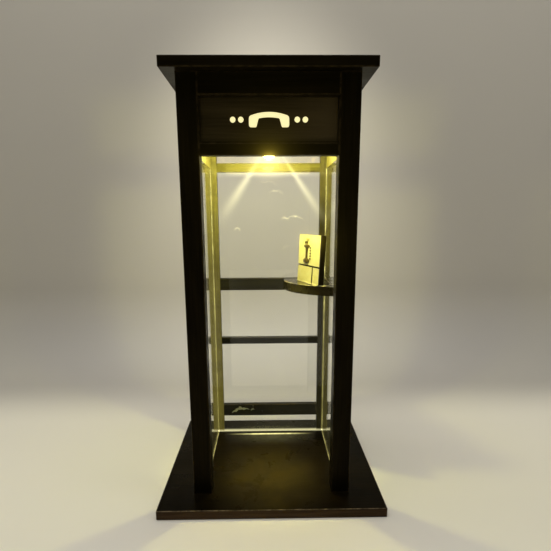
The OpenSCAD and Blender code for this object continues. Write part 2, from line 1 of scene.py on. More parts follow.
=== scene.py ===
"""The looks of a table-top telephone booth lamp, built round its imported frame.

Everything is in metres in the frame's own axes: +Z up and -Y the open front.
"""
import json
import math

import bmesh
import bpy
import numpy as np
from mathutils import Matrix, Vector

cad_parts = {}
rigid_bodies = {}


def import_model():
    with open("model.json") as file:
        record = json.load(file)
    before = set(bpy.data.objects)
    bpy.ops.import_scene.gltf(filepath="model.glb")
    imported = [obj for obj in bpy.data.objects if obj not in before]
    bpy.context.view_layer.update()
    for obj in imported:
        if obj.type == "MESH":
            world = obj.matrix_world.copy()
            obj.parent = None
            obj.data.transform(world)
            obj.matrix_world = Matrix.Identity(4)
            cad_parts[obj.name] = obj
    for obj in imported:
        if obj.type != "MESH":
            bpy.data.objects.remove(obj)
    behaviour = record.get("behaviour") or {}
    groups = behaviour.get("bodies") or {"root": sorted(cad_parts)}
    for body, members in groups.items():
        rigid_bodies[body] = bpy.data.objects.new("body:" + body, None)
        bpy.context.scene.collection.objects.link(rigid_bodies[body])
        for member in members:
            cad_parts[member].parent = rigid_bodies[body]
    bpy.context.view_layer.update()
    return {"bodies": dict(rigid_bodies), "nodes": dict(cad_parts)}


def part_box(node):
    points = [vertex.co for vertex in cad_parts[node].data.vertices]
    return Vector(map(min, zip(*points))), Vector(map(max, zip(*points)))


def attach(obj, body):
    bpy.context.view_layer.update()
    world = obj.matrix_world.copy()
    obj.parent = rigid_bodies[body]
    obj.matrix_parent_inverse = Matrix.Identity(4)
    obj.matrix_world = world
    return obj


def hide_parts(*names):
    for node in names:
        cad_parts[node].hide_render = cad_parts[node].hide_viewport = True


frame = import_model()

MM = 0.001
scene = bpy.context.scene


# ---------- places taken from the frame ----------

def places(node):
    """The lowest and the highest corner of a frame node, as arrays."""
    low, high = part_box(node)
    return np.array(low), np.array(high)


def middle(node):
    """The middle of a frame node's box."""
    low, high = places(node)
    return (low + high) / 2


def mesh_points(mesh):
    """The points of a mesh, as an array with a row for each."""
    flat = np.zeros(len(mesh.vertices) * 3)
    mesh.vertices.foreach_get("co", flat)
    return flat.reshape(-1, 3)


def corners(node):
    """The points of a frame node's mesh in the frame's axes."""
    place = np.array(frame["nodes"][node].matrix_world)
    return mesh_points(frame["nodes"][node].data) @ place[:3, :3].T + place[:3, 3]


def telephone_axes():
    """The foot of the telephone board's near edge, its along, up and outward directions, its length,
    and how far its face stands out from its back."""
    board = corners("telephone_board")
    lowest_first = 10
    foot = board[np.argmin(-board[:, 0] + board[:, 1] + board[:, 2])]
    along = board[np.argmax(board[:, 1] - lowest_first * board[:, 2])] - foot
    up = board[np.argmax(board[:, 2] + board[:, 0])] - foot
    length = np.linalg.norm(along)
    along, up = along / length, up / np.linalg.norm(up)
    out = np.cross(up, along)
    face = ((corners("telephone_face") - foot) @ out).max()
    return foot, along, up, out, length, face


floor_z = places("base_plate")[1][2]
sign_low, sign_high = places("sign_panel")
back_low, back_high = places("back_wall")
right_low, right_high = places("right_wall")
lens_foot = places("lamp_lens")[0][2]
lamp_centre = middle("lamp_lens")
phone_foot, phone_along, phone_up, phone_out, phone_length, phone_face = telephone_axes()


# ---------- camera ----------

def make_camera():
    """A camera a little above the booth's middle, looking slightly down at its open front."""
    lens = bpy.data.cameras.new("camera")
    lens.sensor_width = 36.0
    lens.lens = 32.50
    lens.shift_y = 0.1157
    lens.clip_start = 0.01
    camera = bpy.data.objects.new("camera", lens)
    scene.collection.objects.link(camera)
    turn_right = Matrix.Rotation(math.radians(-0.978), 4, "Z")
    look_down = Matrix.Rotation(math.radians(90 - 13.456), 4, "X")
    roll = Matrix.Rotation(math.radians(-0.266), 4, "Z")
    stand = Matrix.Translation((-0.00230, -0.38556, 0.20079))
    camera.matrix_world = stand @ turn_right @ look_down @ roll
    scene.camera = camera


make_camera()


# ---------- meshes ----------

def mesh_piece(name, points, faces):
    """A new smooth object at the origin from an array of points and a list of faces."""
    mesh = bpy.data.meshes.new(name)
    mesh.from_pydata(np.asarray(points, float).tolist(), [], [tuple(int(i) for i in f) for f in faces])
    mesh.update()
    mesh.polygons.foreach_set("use_smooth", [True] * len(mesh.polygons))
    piece = bpy.data.objects.new(name, mesh)
    scene.collection.objects.link(piece)
    return piece


def grid_faces(rows, columns, wrap=False):
    """Quads of a grid of rows by columns points, whose columns may close on themselves."""
    row = np.arange(rows - 1)[:, None]
    column = np.arange(columns if wrap else columns - 1)[None, :]
    after = (column + 1) % columns
    quad = (row * columns + column, row * columns + after,
            (row + 1) * columns + after, (row + 1) * columns + column)
    return np.stack(quad, axis=-1).reshape(-1, 4)


def closed_rings(rings, sides):
    """Faces of a row of rings of points, closed by a flat fan at both ends."""
    faces = [tuple(f) for f in grid_faces(rings, sides, wrap=True)]
    faces.append(tuple(np.arange(sides)[::-1]))
    faces.append(tuple((rings - 1) * sides + np.arange(sides)))
    return faces


def tube(path, radius, sides):
    """Points and faces of a round tube: a circle of the given radius carried along the path.

    Each ring stands square to the path; its first point is turned as little as it can be from one
    ring to the next. Flat fans close the two ends.
    """
    path = np.asarray(path, float)
    radius = np.broadcast_to(radius, len(path))
    ahead = np.gradient(path, axis=0)
    ahead /= np.linalg.norm(ahead, axis=1)[:, None]
    side = np.zeros_like(path)
    seed = np.eye(3)[np.argmin(np.abs(ahead[0]))]
    for i, direction in enumerate(ahead):
        seed = seed - direction * (seed @ direction)
        seed /= np.linalg.norm(seed)
        side[i] = seed
    up = np.cross(ahead, side)
    angle = np.linspace(0, 2 * math.pi, sides, endpoint=False)
    ring = (np.cos(angle)[None, :, None] * side[:, None, :]
            + np.sin(angle)[None, :, None] * up[:, None, :])
    points = (path[:, None, :] + ring * radius[:, None, None]).reshape(-1, 3)
    return points, closed_rings(len(path), sides)


def joined(parts):
    """Points and faces of several pieces joined in one list."""
    points, faces, first = [], [], 0
    for new_points, new_faces in parts:
        points.append(new_points)
        faces += [tuple(first + i for i in face) for face in new_faces]
        first += len(new_points)
    return np.concatenate(points), faces


def smooth_route(points, steps):
    """The curve through the given points: each stretch is the cubic that has, at both its ends,
    the direction from the point before to the point after."""
    p = np.asarray(points, float)
    p = np.concatenate([p[:1], p, p[-1:]])
    t = np.linspace(0, 1, steps, endpoint=False)[None, :, None]
    a, b, c, d = (p[i:len(p) - 3 + i, None, :] for i in range(4))
    curve = 0.5 * (2 * b + (c - a) * t + (2 * a - 5 * b + 4 * c - d) * t ** 2
                   + (3 * b - 3 * c + d - a) * t ** 3)
    return np.concatenate([curve.reshape(-1, 3), p[-1:]])


def flat_cut(name, outlines, thickness, soft):
    """A flat piece cut from sheet in the x-y plane. Each outline is a closed row of points, and an
    outline inside another is a hole. Its edges are rounded by soft."""
    curve = bpy.data.curves.new(name, "CURVE")
    curve.dimensions = "2D"
    curve.fill_mode = "BOTH"
    curve.extrude = thickness / 2 - soft
    curve.bevel_depth = soft
    curve.bevel_resolution = 2
    curve.offset = -soft
    for outline in outlines:
        spline = curve.splines.new("POLY")
        spline.points.add(len(outline) - 1)
        flat = np.c_[outline, np.zeros(len(outline)), np.ones(len(outline))]
        spline.points.foreach_set("co", flat.ravel())
        spline.use_cyclic_u = True
    holder = bpy.data.objects.new(name + "_outline", curve)
    scene.collection.objects.link(holder)
    bpy.context.view_layer.update()
    ready = holder.evaluated_get(bpy.context.evaluated_depsgraph_get())
    mesh = bpy.data.meshes.new_from_object(ready)
    bpy.data.objects.remove(holder)
    bpy.data.curves.remove(curve)
    weld(mesh)
    piece = bpy.data.objects.new(name, mesh)
    mesh.name = name
    scene.collection.objects.link(piece)
    return piece


def weld(mesh):
    """Joins points that lie on each other and turns every face outwards."""
    work = bmesh.new()
    work.from_mesh(mesh)
    bmesh.ops.remove_doubles(work, verts=work.verts, dist=1e-6)
    bmesh.ops.recalc_face_normals(work, faces=work.faces)
    work.to_mesh(mesh)
    work.free()


def place_flat(piece, origin, right, up, out):
    """Turns a piece made in the x-y plane so that x runs along right, y along up and z along out."""
    turned = np.asarray(origin) + mesh_points(piece.data) @ np.array([right, up, out], float)
    piece.data.vertices.foreach_set("co", turned.ravel())
    piece.data.update()


# ---------- nodes ----------

def add(tree, kind, values=None, **settings):
    """A new shader node with its settings, and with a value or a link in each named socket."""
    node = tree.nodes.new("ShaderNode" + kind)
    for name, value in settings.items():
        setattr(node, name, value)
    for name, value in (values or {}).items():
        if isinstance(value, bpy.types.NodeSocket):
            tree.links.new(value, node.inputs[name])
        else:
            node.inputs[name].default_value = value
    return node


def calc(tree, operation, *terms):
    """The result of one sum, product or other operation on numbers or sockets."""
    return add(tree, "Math", dict(enumerate(terms)), operation=operation).outputs[0]


def product(tree, *factors):
    """The product of numbers or sockets."""
    result = factors[0]
    for factor in factors[1:]:
        result = calc(tree, "MULTIPLY", result, factor)
    return result


def vector_calc(tree, operation, *terms, out=0):
    """The same for vectors; out 1 is the number that a length, distance or dot product gives."""
    return add(tree, "VectorMath", dict(enumerate(terms)), operation=operation).outputs[out]


def split(tree, vector):
    """The x, y and z of a vector."""
    return add(tree, "SeparateXYZ", {0: vector}).outputs


def blend_colours(tree, factor, first, second, blend_type="MIX"):
    """First and second colour mixed by the factor."""
    values = {0: factor, 6: first, 7: second}
    return add(tree, "Mix", values, data_type="RGBA", blend_type=blend_type).outputs[2]


def ramp(tree, value, low, high, to_low=0.0, to_high=1.0):
    """A soft step: to_low below low, to_high above high, and a smooth rise between."""
    values = {"Value": value, "From Min": low, "From Max": high, "To Min": to_low, "To Max": to_high}
    return add(tree, "MapRange", values, interpolation_type="SMOOTHSTEP").outputs[0]


def fall(tree, value, low, high):
    """The soft step from 1 below low down to 0 above high."""
    return ramp(tree, value, low, high, 1.0, 0.0)


def step_near(tree, value, place, start, end, to_start=0.0, to_end=1.0):
    """The soft step between two distances, in millimetres, from a place."""
    return ramp(tree, value, place + start * MM, place + end * MM, to_start, to_end)


def noise(tree, vector, scale, detail, **more):
    """A noise's number."""
    return add(tree, "TexNoise", {"Vector": vector, "Scale": scale, "Detail": detail, **more}).outputs["Fac"]


def shader_group(name, takes, gives):
    """A new node group and its two end nodes. takes and gives list its sockets by their kind."""
    group = bpy.data.node_groups.new(name, "ShaderNodeTree")
    for way, sockets in (("INPUT", takes), ("OUTPUT", gives)):
        for kind, labels in sockets.items():
            for label in labels.split():
                group.interface.new_socket(label, in_out=way, socket_type="NodeSocket" + kind)
    start = group.nodes.new("NodeGroupInput")
    end = group.nodes.new("NodeGroupOutput")
    return group, start.outputs, end.inputs


def use(tree, group, **values):
    """Places a node group; an underscore in a keyword stands for a space in the socket's label."""
    node = tree.nodes.new("ShaderNodeGroup")
    node.node_tree = group
    for name, value in values.items():
        socket = node.inputs[name.replace("_", " ")]
        if isinstance(value, bpy.types.NodeSocket):
            tree.links.new(value, socket)
        else:
            socket.default_value = value
    return node.outputs


def make_wood_figure():
    """Wood with its grain along x: broad bands and fine pores, both long and thin, from two noises
    that are stretched along the grain."""
    g, i, o = shader_group("wood figure", {"Vector": "Vector", "Color": "Dark Light", "Float": "Bands Pores"},
                           {"Color": "Color", "Float": "Height Bands"})
    long_bands = vector_calc(g, "MULTIPLY", i["Vector"], (0.09, 1, 1))
    long_pores = vector_calc(g, "MULTIPLY", i["Vector"], (0.03, 1, 1))
    band = ramp(g, noise(g, long_bands, i["Bands"], 4.0, Roughness=0.55, Distortion=1.2), 0.32, 0.70)
    pore = ramp(g, noise(g, long_pores, i["Pores"], 3.0, Roughness=0.6), 0.38, 0.66)
    share = calc(g, "MULTIPLY_ADD", band, 0.65, product(g, pore, 0.35))
    g.links.new(blend_colours(g, share, i["Dark"], i["Light"]), o["Color"])
    g.links.new(calc(g, "MULTIPLY_ADD", pore, 0.8, product(g, band, 0.2)), o["Height"])
    g.links.new(band, o["Bands"])
    return g


def make_worn_edges():
    """1 along the edges of a box and 0 elsewhere. A point is on an edge where it is close to two
    of the box's faces at once. A noise breaks the line up."""
    g, i, o = shader_group("worn edges", {"Vector": "Vector Centre Half", "Float": "Width Patchy"},
                           {"Float": "Mask"})
    from_centre = vector_calc(g, "ABSOLUTE", vector_calc(g, "SUBTRACT", i["Vector"], i["Centre"]))
    inside = split(g, vector_calc(g, "SUBTRACT", i["Half"], from_centre))
    close = [fall(g, inside[k], 0.0, i["Width"]) for k in range(3)]
    pairs = [calc(g, "MINIMUM", close[k], close[(k + 1) % 3]) for k in range(3)]
    edge = calc(g, "MAXIMUM", calc(g, "MAXIMUM", pairs[0], pairs[1]), pairs[2])
    broken = ramp(g, noise(g, i["Vector"], 260.0, 3.0), 0.35, 0.65)
    kept = calc(g, "SUBTRACT", 1.0, product(g, i["Patchy"], calc(g, "SUBTRACT", 1.0, broken)))
    g.links.new(product(g, edge, kept), o["Mask"])
    return g


def make_handling():
    """Roughness that wanders between two values, as on a surface that hands have wiped."""
    g, i, o = shader_group("handling", {"Vector": "Vector", "Float": "Scale Low High"},
                           {"Float": "Roughness Mask"})
    mask = ramp(g, noise(g, i["Vector"], i["Scale"], 5.0, Roughness=0.65, Distortion=0.6), 0.35, 0.68)
    rough = calc(g, "MULTIPLY_ADD", mask, calc(g, "SUBTRACT", i["High"], i["Low"]), i["Low"])
    g.links.new(rough, o["Roughness"])
    g.links.new(mask, o["Mask"])
    return g


def make_light_streak():
    """A soft streak on a sheet: it starts at a point, runs in a direction, widens as it goes and
    fades out at its length. Across it the brightness is a bell curve."""
    g, i, o = shader_group("light streak", {"Vector": "Vector Start Direction",
                                            "Float": "Width Spread Length"}, {"Float": "Mask"})
    away = vector_calc(g, "SUBTRACT", i["Vector"], i["Start"])
    along = vector_calc(g, "DOT_PRODUCT", away, i["Direction"], out=1)
    across = vector_calc(g, "LENGTH", vector_calc(g, "CROSS_PRODUCT", away, i["Direction"]), out=1)
    width = calc(g, "MULTIPLY_ADD", along, i["Spread"], i["Width"])
    share = calc(g, "DIVIDE", across, calc(g, "MAXIMUM", width, 0.2 * MM))
    bell = calc(g, "POWER", math.e, product(g, share, share, -1.0))
    started = ramp(g, along, 2 * MM, 22 * MM, 0.25, 1.0)
    g.links.new(product(g, bell, fall(g, along, 0.0, i["Length"]), started), o["Mask"])
    return g


def make_curl():
    """A thin curled smear's mask, used for painted light: part of a ring round a centre, kept only
    within reach of a point on it. A noise bends the ring and thins it here and there."""
    g, i, o = shader_group("curl", {"Vector": "Vector Centre Middle", "Float": "Radius Width Reach"},
                           {"Float": "Mask"})
    uneven = noise(g, i["Vector"], 210.0, 2.0)
    bend = product(g, calc(g, "SUBTRACT", uneven, 0.5), 6 * MM)
    away = vector_calc(g, "DISTANCE", i["Vector"], i["Centre"], out=1)
    off_ring = calc(g, "ABSOLUTE", calc(g, "SUBTRACT", calc(g, "ADD", away, bend), i["Radius"]))
    line = fall(g, off_ring, 0.0, i["Width"])
    from_middle = vector_calc(g, "DISTANCE", i["Vector"], i["Middle"], out=1)
    patch = fall(g, from_middle, 0.0, i["Reach"])
    thin = ramp(g, uneven, 0.35, 0.6, 0.35, 1.0)
    g.links.new(product(g, line, patch, thin), o["Mask"])
    return g


wood_figure = make_wood_figure()
worn_edges = make_worn_edges()
handling = make_handling()
light_streak = make_light_streak()
curl = make_curl()


# ---------- finishes ----------

def new_finish(name, **fixed):
    """A material with a Principled shader; keywords set its plain sockets. Gives the material, its
    tree, its shader and the Object coordinates."""
    material = bpy.data.materials.new(name)
    material.use_nodes = True
    tree = material.node_tree
    shader = tree.nodes["Principled BSDF"]
    for label, value in fixed.items():
        shader.inputs[label.replace("_", " ")].default_value = value
    here = tree.nodes.new("ShaderNodeTexCoord").outputs["Object"]
    return material, tree, shader, here


def reopened(material):
    """The tree, the shader, the Object coordinates and the base colour of a material made above."""
    tree = material.node_tree
    shader = tree.nodes["Principled BSDF"]
    here = next(n for n in tree.nodes if n.type == "TEX_COORD").outputs["Object"]
    return tree, shader, here, shader.inputs["Base Color"].links[0].from_socket


def feed(tree, shader, **sockets):
    """Links a value to each named socket of the shader."""
    for label, value in sockets.items():
        tree.links.new(value, shader.inputs[label.replace("_", " ")])


def wander(tree, here, scale, low, high):
    """A number that wanders between low and high over the surface."""
    return use(tree, handling, Vector=here, Scale=scale, Low=low, High=high)["Roughness"]


def grain_vector(tree, here, along, offset):
    """Object coordinates turned so that the grain, which runs along x, y or z, lies along x."""
    turns = {"x": (0, 0, 0), "y": (0, 0, -math.pi / 2), "z": (0, math.pi / 2, 0)}
    shift = (offset, 0.37 * offset, 0.71 * offset)
    return add(tree, "Mapping", {"Vector": here, "Rotation": turns[along], "Location": shift}).outputs[0]


def edge_wear(tree, here, node, width, patchy):
    """The mask of a frame node's worn edges."""
    low, high = places(node)
    return use(tree, worn_edges, Vector=here, Centre=tuple((low + high) / 2),
               Half=tuple((high - low) / 2), Width=width, Patchy=patchy)["Mask"]


def clear_where(tree, shader, mask, colour=(1, 1, 1, 1)):
    """Lets light straight through where the mask is 1."""
    way = add(tree, "BsdfTransparent", {"Color": colour})
    choice = add(tree, "MixShader", {0: mask, 1: shader.outputs[0], 2: way.outputs[0]})
    tree.links.new(choice.outputs[0], tree.nodes["Material Output"].inputs["Surface"])


def bump(tree, shader, height, strength, distance):
    """Feeds a height to the shader's normal."""
    relief = add(tree, "Bump", {"Height": height, "Strength": strength, "Distance": distance})
    feed(tree, shader, Normal=relief.outputs[0])


UNLIT = (0, 0, 0, 1)
ESPRESSO_DARK = (0.0028, 0.0022, 0.0008, 1)
ESPRESSO_LIGHT = (0.0105, 0.0076, 0.0026, 1)
OLIVE_LIGHT = (0.0098, 0.0086, 0.0026, 1)
BASE_DARK = (0.0024, 0.0017, 0.0006, 1)
BASE_LIGHT = (0.0062, 0.0041, 0.0014, 1)
# painted pool of lamp light on the base's top
BASE_LAMP_POOL = (0.0325, 0.0232, 0.0036, 1)
# the base's sides: paler than its top as painted light
BASE_SIDE_DARK = (0.034, 0.021, 0.011, 1)
BASE_SIDE_LIGHT = (0.085, 0.052, 0.028, 1)
# the base's pale edge line: wear with a painted highlight
WORN_AND_SHEEN_EDGE = (0.42, 0.32, 0.20, 1)
WORN_BROWN = (0.070, 0.048, 0.020, 1)
SHADED_POST = (0.006, 0.0045, 0.0015, 1)
LIT_POST = (0.115, 0.096, 0.020, 1)
# shelf rim line: lacquer with a painted highlight
LACQUER_AND_SHEEN_RIM = (0.62, 0.56, 0.34, 1)
SIGN_PALER_RIGHT = (0.085, 0.062, 0.027, 1)
CUT_BOARD = (0.030, 0.020, 0.008, 1)
WARM_SHINE = (1.0, 0.80, 0.46, 1)
# colours of painted glow: the base's line of light, and the light in the side and back walls
FLOOR_GLOW = (1.0, 0.92, 0.36, 1)
SIDE_GLOW = (1.0, 0.88, 0.30, 1)
BACK_GLOW = (1.0, 0.93, 0.50, 1)
SHELF_RADIUS = 50 * MM


def stronger(colour, times):
    """A colour made so many times brighter."""
    return tuple(times * c for c in colour[:3]) + (1,)


def espresso_wood(node, along, gloss=0.30, pale=1.0, dark=ESPRESSO_DARK, light=ESPRESSO_LIGHT, shine=0.05):
    """Near-black stained hardwood under a thin lacquer that is a little worn on the edges. pale is
    painted lamp light: it makes the wood so many times brighter on every face but the rear ones.
    shine says how strongly the lacquer reflects."""
    material, tree, shader, here = new_finish(
        "espresso " + node, Specular_IOR_Level=shine, Specular_Tint=WARM_SHINE)
    vector = grain_vector(tree, here, along, 0.13 * (sum(map(ord, node)) % 17))
    # pale brightens the figure's colours: painted lamp light
    wood = use(tree, wood_figure, Vector=vector, Dark=stronger(dark, pale), Light=stronger(light, pale),
               Bands=85.0, Pores=900.0)
    worn = edge_wear(tree, here, node, 1.1 * MM, 0.85)
    plain = blend_colours(tree, wood["Bands"], dark, light)
    rear = step_near(tree, split(tree, here)[1], places(node)[1][1], -0.7, -0.3)
    stain = blend_colours(tree, rear, wood["Color"], plain)
    tone = blend_colours(tree, product(tree, worn, 0.55), stain, WORN_BROWN)
    wiped = wander(tree, here, 38.0, gloss, gloss + 0.16)
    feed(tree, shader, Base_Color=tone, Roughness=calc(tree, "MULTIPLY_ADD", worn, 0.12, wiped))
    bump(tree, shader, wood["Height"], 0.22, 0.12 * MM)
    return material


def base_wood():
    """The base plate's wood: near black, with a painted pool of the lamp's light in olive brown on its top
    under the lamp, and a painted thin line of light that the back wall's foot throws on it."""
    material = espresso_wood("base_plate", "x", 0.26, 1.0, BASE_DARK, BASE_LIGHT, 0.025)
    tree, shader, here, plain = reopened(material)
    x, y, z = split(tree, here)
    # the painted pool of lamp light on the base's top
    patch_middle, patch_reach = (-2 * MM, -34 * MM, 0.0), (52 * MM, 78 * MM)
    from_patch = vector_calc(tree, "SUBTRACT", here, patch_middle)
    share = vector_calc(tree, "MULTIPLY", from_patch, (1 / patch_reach[0], 1 / patch_reach[1], 0.0))
    patch = fall(tree, vector_calc(tree, "LENGTH", share, out=1), 0.1, 1.0)
    paler_share = product(tree, patch, wander(tree, here, 26.0, 0.45, 1.0))
    top = blend_colours(tree, paler_share, plain, BASE_LAMP_POOL)
    # painted light: the sides get a paler brown than the top, to make up for the little light that falls on
    # them
    rim = step_near(tree, z, floor_z, -0.9, -0.5, 1.0, 0.0)
    bands = use(tree, wood_figure, Vector=grain_vector(tree, here, "x", 0.3), Dark=BASE_SIDE_DARK,
                Light=BASE_SIDE_LIGHT, Bands=140.0, Pores=900.0)["Color"]
    # the base's edges: pale wear mixed with a painted highlight
    edge = edge_wear(tree, here, "base_plate", 0.75 * MM, 0.8)
    stain = blend_colours(tree, rim, top, bands)
    feed(tree, shader, Base_Color=blend_colours(tree, product(tree, edge, 0.8), stain, WORN_AND_SHEEN_EDGE))
    # a painted line of light on the base's top just in front of the back wall's foot, with a faint pool
    # before it
    line_y = back_low[1] - 6.0 * MM
    behind = step_near(tree, y, line_y, 0, 1.6, 1.0, 0.0)
    before = step_near(tree, y, line_y, -3.0, 0)
    pool = step_near(tree, y, line_y, -26.0, 0, 0.0, 0.05)
    across = fall(tree, calc(tree, "ABSOLUTE", x), 2 * MM, 42 * MM)
    on_top = step_near(tree, z, floor_z, -0.5, -0.2)
    line = product(tree, calc(tree, "MAXIMUM", before, pool), behind, across, on_top,
                   wander(tree, here, 130.0, 0.6, 1.0))
    feed(tree, shader, Emission_Color=blend_colours(tree, line, UNLIT, FLOOR_GLOW))
    shader.inputs["Emission Strength"].default_value = 1.8
    return material


def back_post_wood(node, inside):
    """A back post's wood with painted light: olive, and glowing, where the clear sheets' own light falls
    on it, and as dark, as painted shade, inside the booth as the share inside says, except near the lamp."""
    # pale 30 is painted lamp light
    material = espresso_wood(node, "z", 0.30, 30.0, light=OLIVE_LIGHT)
    tree, shader, here, olive = reopened(material)
    x, y, z = split(tree, here)
    sideways = calc(tree, "ABSOLUTE", x)
    outer_x = max(abs(places(node)[0][0]), abs(places(node)[1][0]))
    outside = step_near(tree, sideways, right_low[0], -1.2, 0, inside)
    near_lamp = step_near(tree, z, lens_foot, -60, 0, inside)
    to_front = step_near(tree, y, back_high[1], 0.6, 1.2, 1.0, 0.0)
    off_side = step_near(tree, sideways, outer_x, -0.9, -0.5, 1.0, 0.0)
    lit = product(tree, calc(tree, "MAXIMUM", outside, near_lamp), to_front, off_side,
                  wander(tree, here, 70.0, 0.72, 1.0))
    height = ramp(tree, z, floor_z, lens_foot, 0.75, 1.0)
    # the painted light: an olive colour and a glow where the sheets' light falls
    glow = stronger(LIT_POST, 0.70 + 0.35 * inside)
    feed(tree, shader, Base_Color=blend_colours(tree, lit, SHADED_POST, olive),
         Emission_Color=blend_colours(tree, product(tree, lit, height), UNLIT, glow))
    shader.inputs["Emission Strength"].default_value = 1.0
    return material


def shelf_wood():
    """The shelf's wood: glossy, brightened as painted lamp light, with a pale broken line along its
    upper front rim that is partly lacquer and partly a painted highlight.
    """
    material = espresso_wood("corner_shelf", "x", 0.18, 3.0, light=OLIVE_LIGHT, shine=0.3)
    tree, shader, here, wood = reopened(material)
    y, z = split(tree, here)[1:]
    low, high = places("corner_shelf")
    from_centre = vector_calc(tree, "SUBTRACT", here, (low[0] + SHELF_RADIUS, low[1] + SHELF_RADIUS, 0))
    flat = vector_calc(tree, "MULTIPLY", from_centre, (1, 1, 0))
    inset = calc(tree, "SUBTRACT", SHELF_RADIUS, vector_calc(tree, "LENGTH", flat, out=1))
    off_rim = calc(tree, "ADD", calc(tree, "ABSOLUTE", inset), calc(tree, "SUBTRACT", high[2], z))
    # the rim line: lacquer with a painted highlight
    line = product(tree, fall(tree, off_rim, 0.3 * MM, 0.8 * MM),
                   step_near(tree, y, high[1], -9, -14), wander(tree, here, 170.0, 0.15, 1.0))
    feed(tree, shader, Base_Color=blend_colours(tree, line, wood, LACQUER_AND_SHEEN_RIM))
    return material


def pale_wood(node, along):
    """Bare pale plywood."""
    material, tree, shader, here = new_finish("pale plywood " + node)
    vector = grain_vector(tree, here, along, 0.11 * (sum(map(ord, node)) % 13))
    wood = use(tree, wood_figure, Vector=vector, Dark=(0.46, 0.31, 0.16, 1), Light=(0.72, 0.58, 0.36, 1),
               Bands=70.0, Pores=800.0)
    feed(tree, shader, Base_Color=wood["Color"], Roughness=wander(tree, here, 60.0, 0.55, 0.75))
    bump(tree, shader, wood["Height"], 0.35, 0.15 * MM)
    return material


def header_wood(node):
    """Header board: pale towards the inside of the booth, stained dark on the faces that show outside."""
    material, tree, shader, here = new_finish("header " + node, Specular_IOR_Level=0.15)
    low, high = places(node)
    inner = low[0] if low[0] > 0 else -high[0]
    vector = grain_vector(tree, here, "y", 0.4)
    dark = use(tree, wood_figure, Vector=vector, Dark=ESPRESSO_DARK, Light=ESPRESSO_LIGHT,
               Bands=85.0, Pores=900.0)
    pale = use(tree, wood_figure, Vector=vector, Dark=(0.19, 0.17, 0.055, 1), Light=(0.28, 0.26, 0.10, 1),
               Bands=60.0, Pores=700.0)
    outside = step_near(tree, calc(tree, "ABSOLUTE", split(tree, here)[0]), inner, 0.4, 0.9)
    feed(tree, shader, Base_Color=blend_colours(tree, outside, pale["Color"], dark["Color"]),
         Roughness=wander(tree, here, 40.0, 0.28, 0.5))
    bump(tree, shader, dark["Height"], 0.25, 0.12 * MM)
    return material


def sign_board_finish():
    """The sign's own board: dark brown, less glossy than the frame, and paler towards the right."""
    material, tree, shader, here = new_finish(
        "sign board", Specular_IOR_Level=0.08, Specular_Tint=WARM_SHINE)
    wood = use(tree, wood_figure, Vector=grain_vector(tree, here, "x", 0.8),
               Dark=(0.022, 0.0160, 0.0066, 1), Light=(0.060, 0.044, 0.0180, 1), Bands=60.0, Pores=950.0)
    paler_share = ramp(tree, split(tree, here)[0], 0.0, sign_high[0], 0.0, 0.75)
    feed(tree, shader, Base_Color=blend_colours(tree, paler_share, wood["Color"], SIGN_PALER_RIGHT),
         Roughness=wander(tree, here, 45.0, 0.42, 0.60))
    bump(tree, shader, wood["Height"], 0.3, 0.1 * MM)
    return material


def clear_wall(name, glow):
    """Clear polished sheet. glow makes, in the material's tree, the colours of the painted light in it:
    its glowing edges, streaks and smears. Light passes through to what is behind."""
    material, tree, shader, here = new_finish(
        name, Transmission_Weight=1.0, IOR=1.49, Metallic=0.0, Emission_Strength=1.0)
    tint = use(tree, handling, Vector=here, Scale=24.0, Low=0.0, High=1.0)["Mask"]
    tone = blend_colours(tree, tint, (0.975, 0.985, 0.965, 1), (0.955, 0.965, 0.935, 1))
    feed(tree, shader, Base_Color=tone, Roughness=wander(tree, here, 55.0, 0.004, 0.035),
         Emission_Color=glow(tree, here))
    in_shadow = tree.nodes.new("ShaderNodeLightPath").outputs["Is Shadow Ray"]
    clear_where(tree, shader, in_shadow, (0.93, 0.95, 0.90, 1))
    return material


def side_wall_glow(tree, here):
    """Painted glow on the back end and the foot of a side wall, stronger near the lamp."""
    y, z = split(tree, here)[1:]
    end = step_near(tree, y, right_high[1], -1.6, -0.3)
    foot = step_near(tree, z, right_low[2], 0.6, 1.8, 1.3, 0.0)
    near = ramp(tree, z, right_low[2], right_high[2], 0.35, 1.0)
    lit = product(tree, calc(tree, "MAXIMUM", product(tree, end, near), foot),
                  wander(tree, here, 90.0, 0.3, 1.0))
    return blend_colours(tree, calc(tree, "MULTIPLY_ADD", lit, 0.5, 0.008), UNLIT, SIDE_GLOW)


# the painted light streaks in the back wall: across (mm), drift for each step down, width (mm), spread and
# strength
STREAKS = ((-6.8, -0.686, 1.3, 0.060, 0.48), (12.6, 0.694, 1.1, 0.042, 0.56))
# the smears on the back wall, lit up as painted light: across, up, radius, width, reach (millimetres) and
# strength
LIT_SMEARS = ((-27.0, 194.5, 3.0, 1.1, 4.5, 0.45), (22.0, 204.5, 11.0, 0.9, 11.0, 0.34),
         (13.5, 203.0, 5.0, 1.3, 5.0, 0.40), (6.0, 225.5, 9.0, 1.0, 9.0, 0.20),
         (-1.0, 232.5, 16.0, 0.8, 12.0, 0.12), (15.5, 178.5, 6.0, 0.9, 5.0, 0.22))


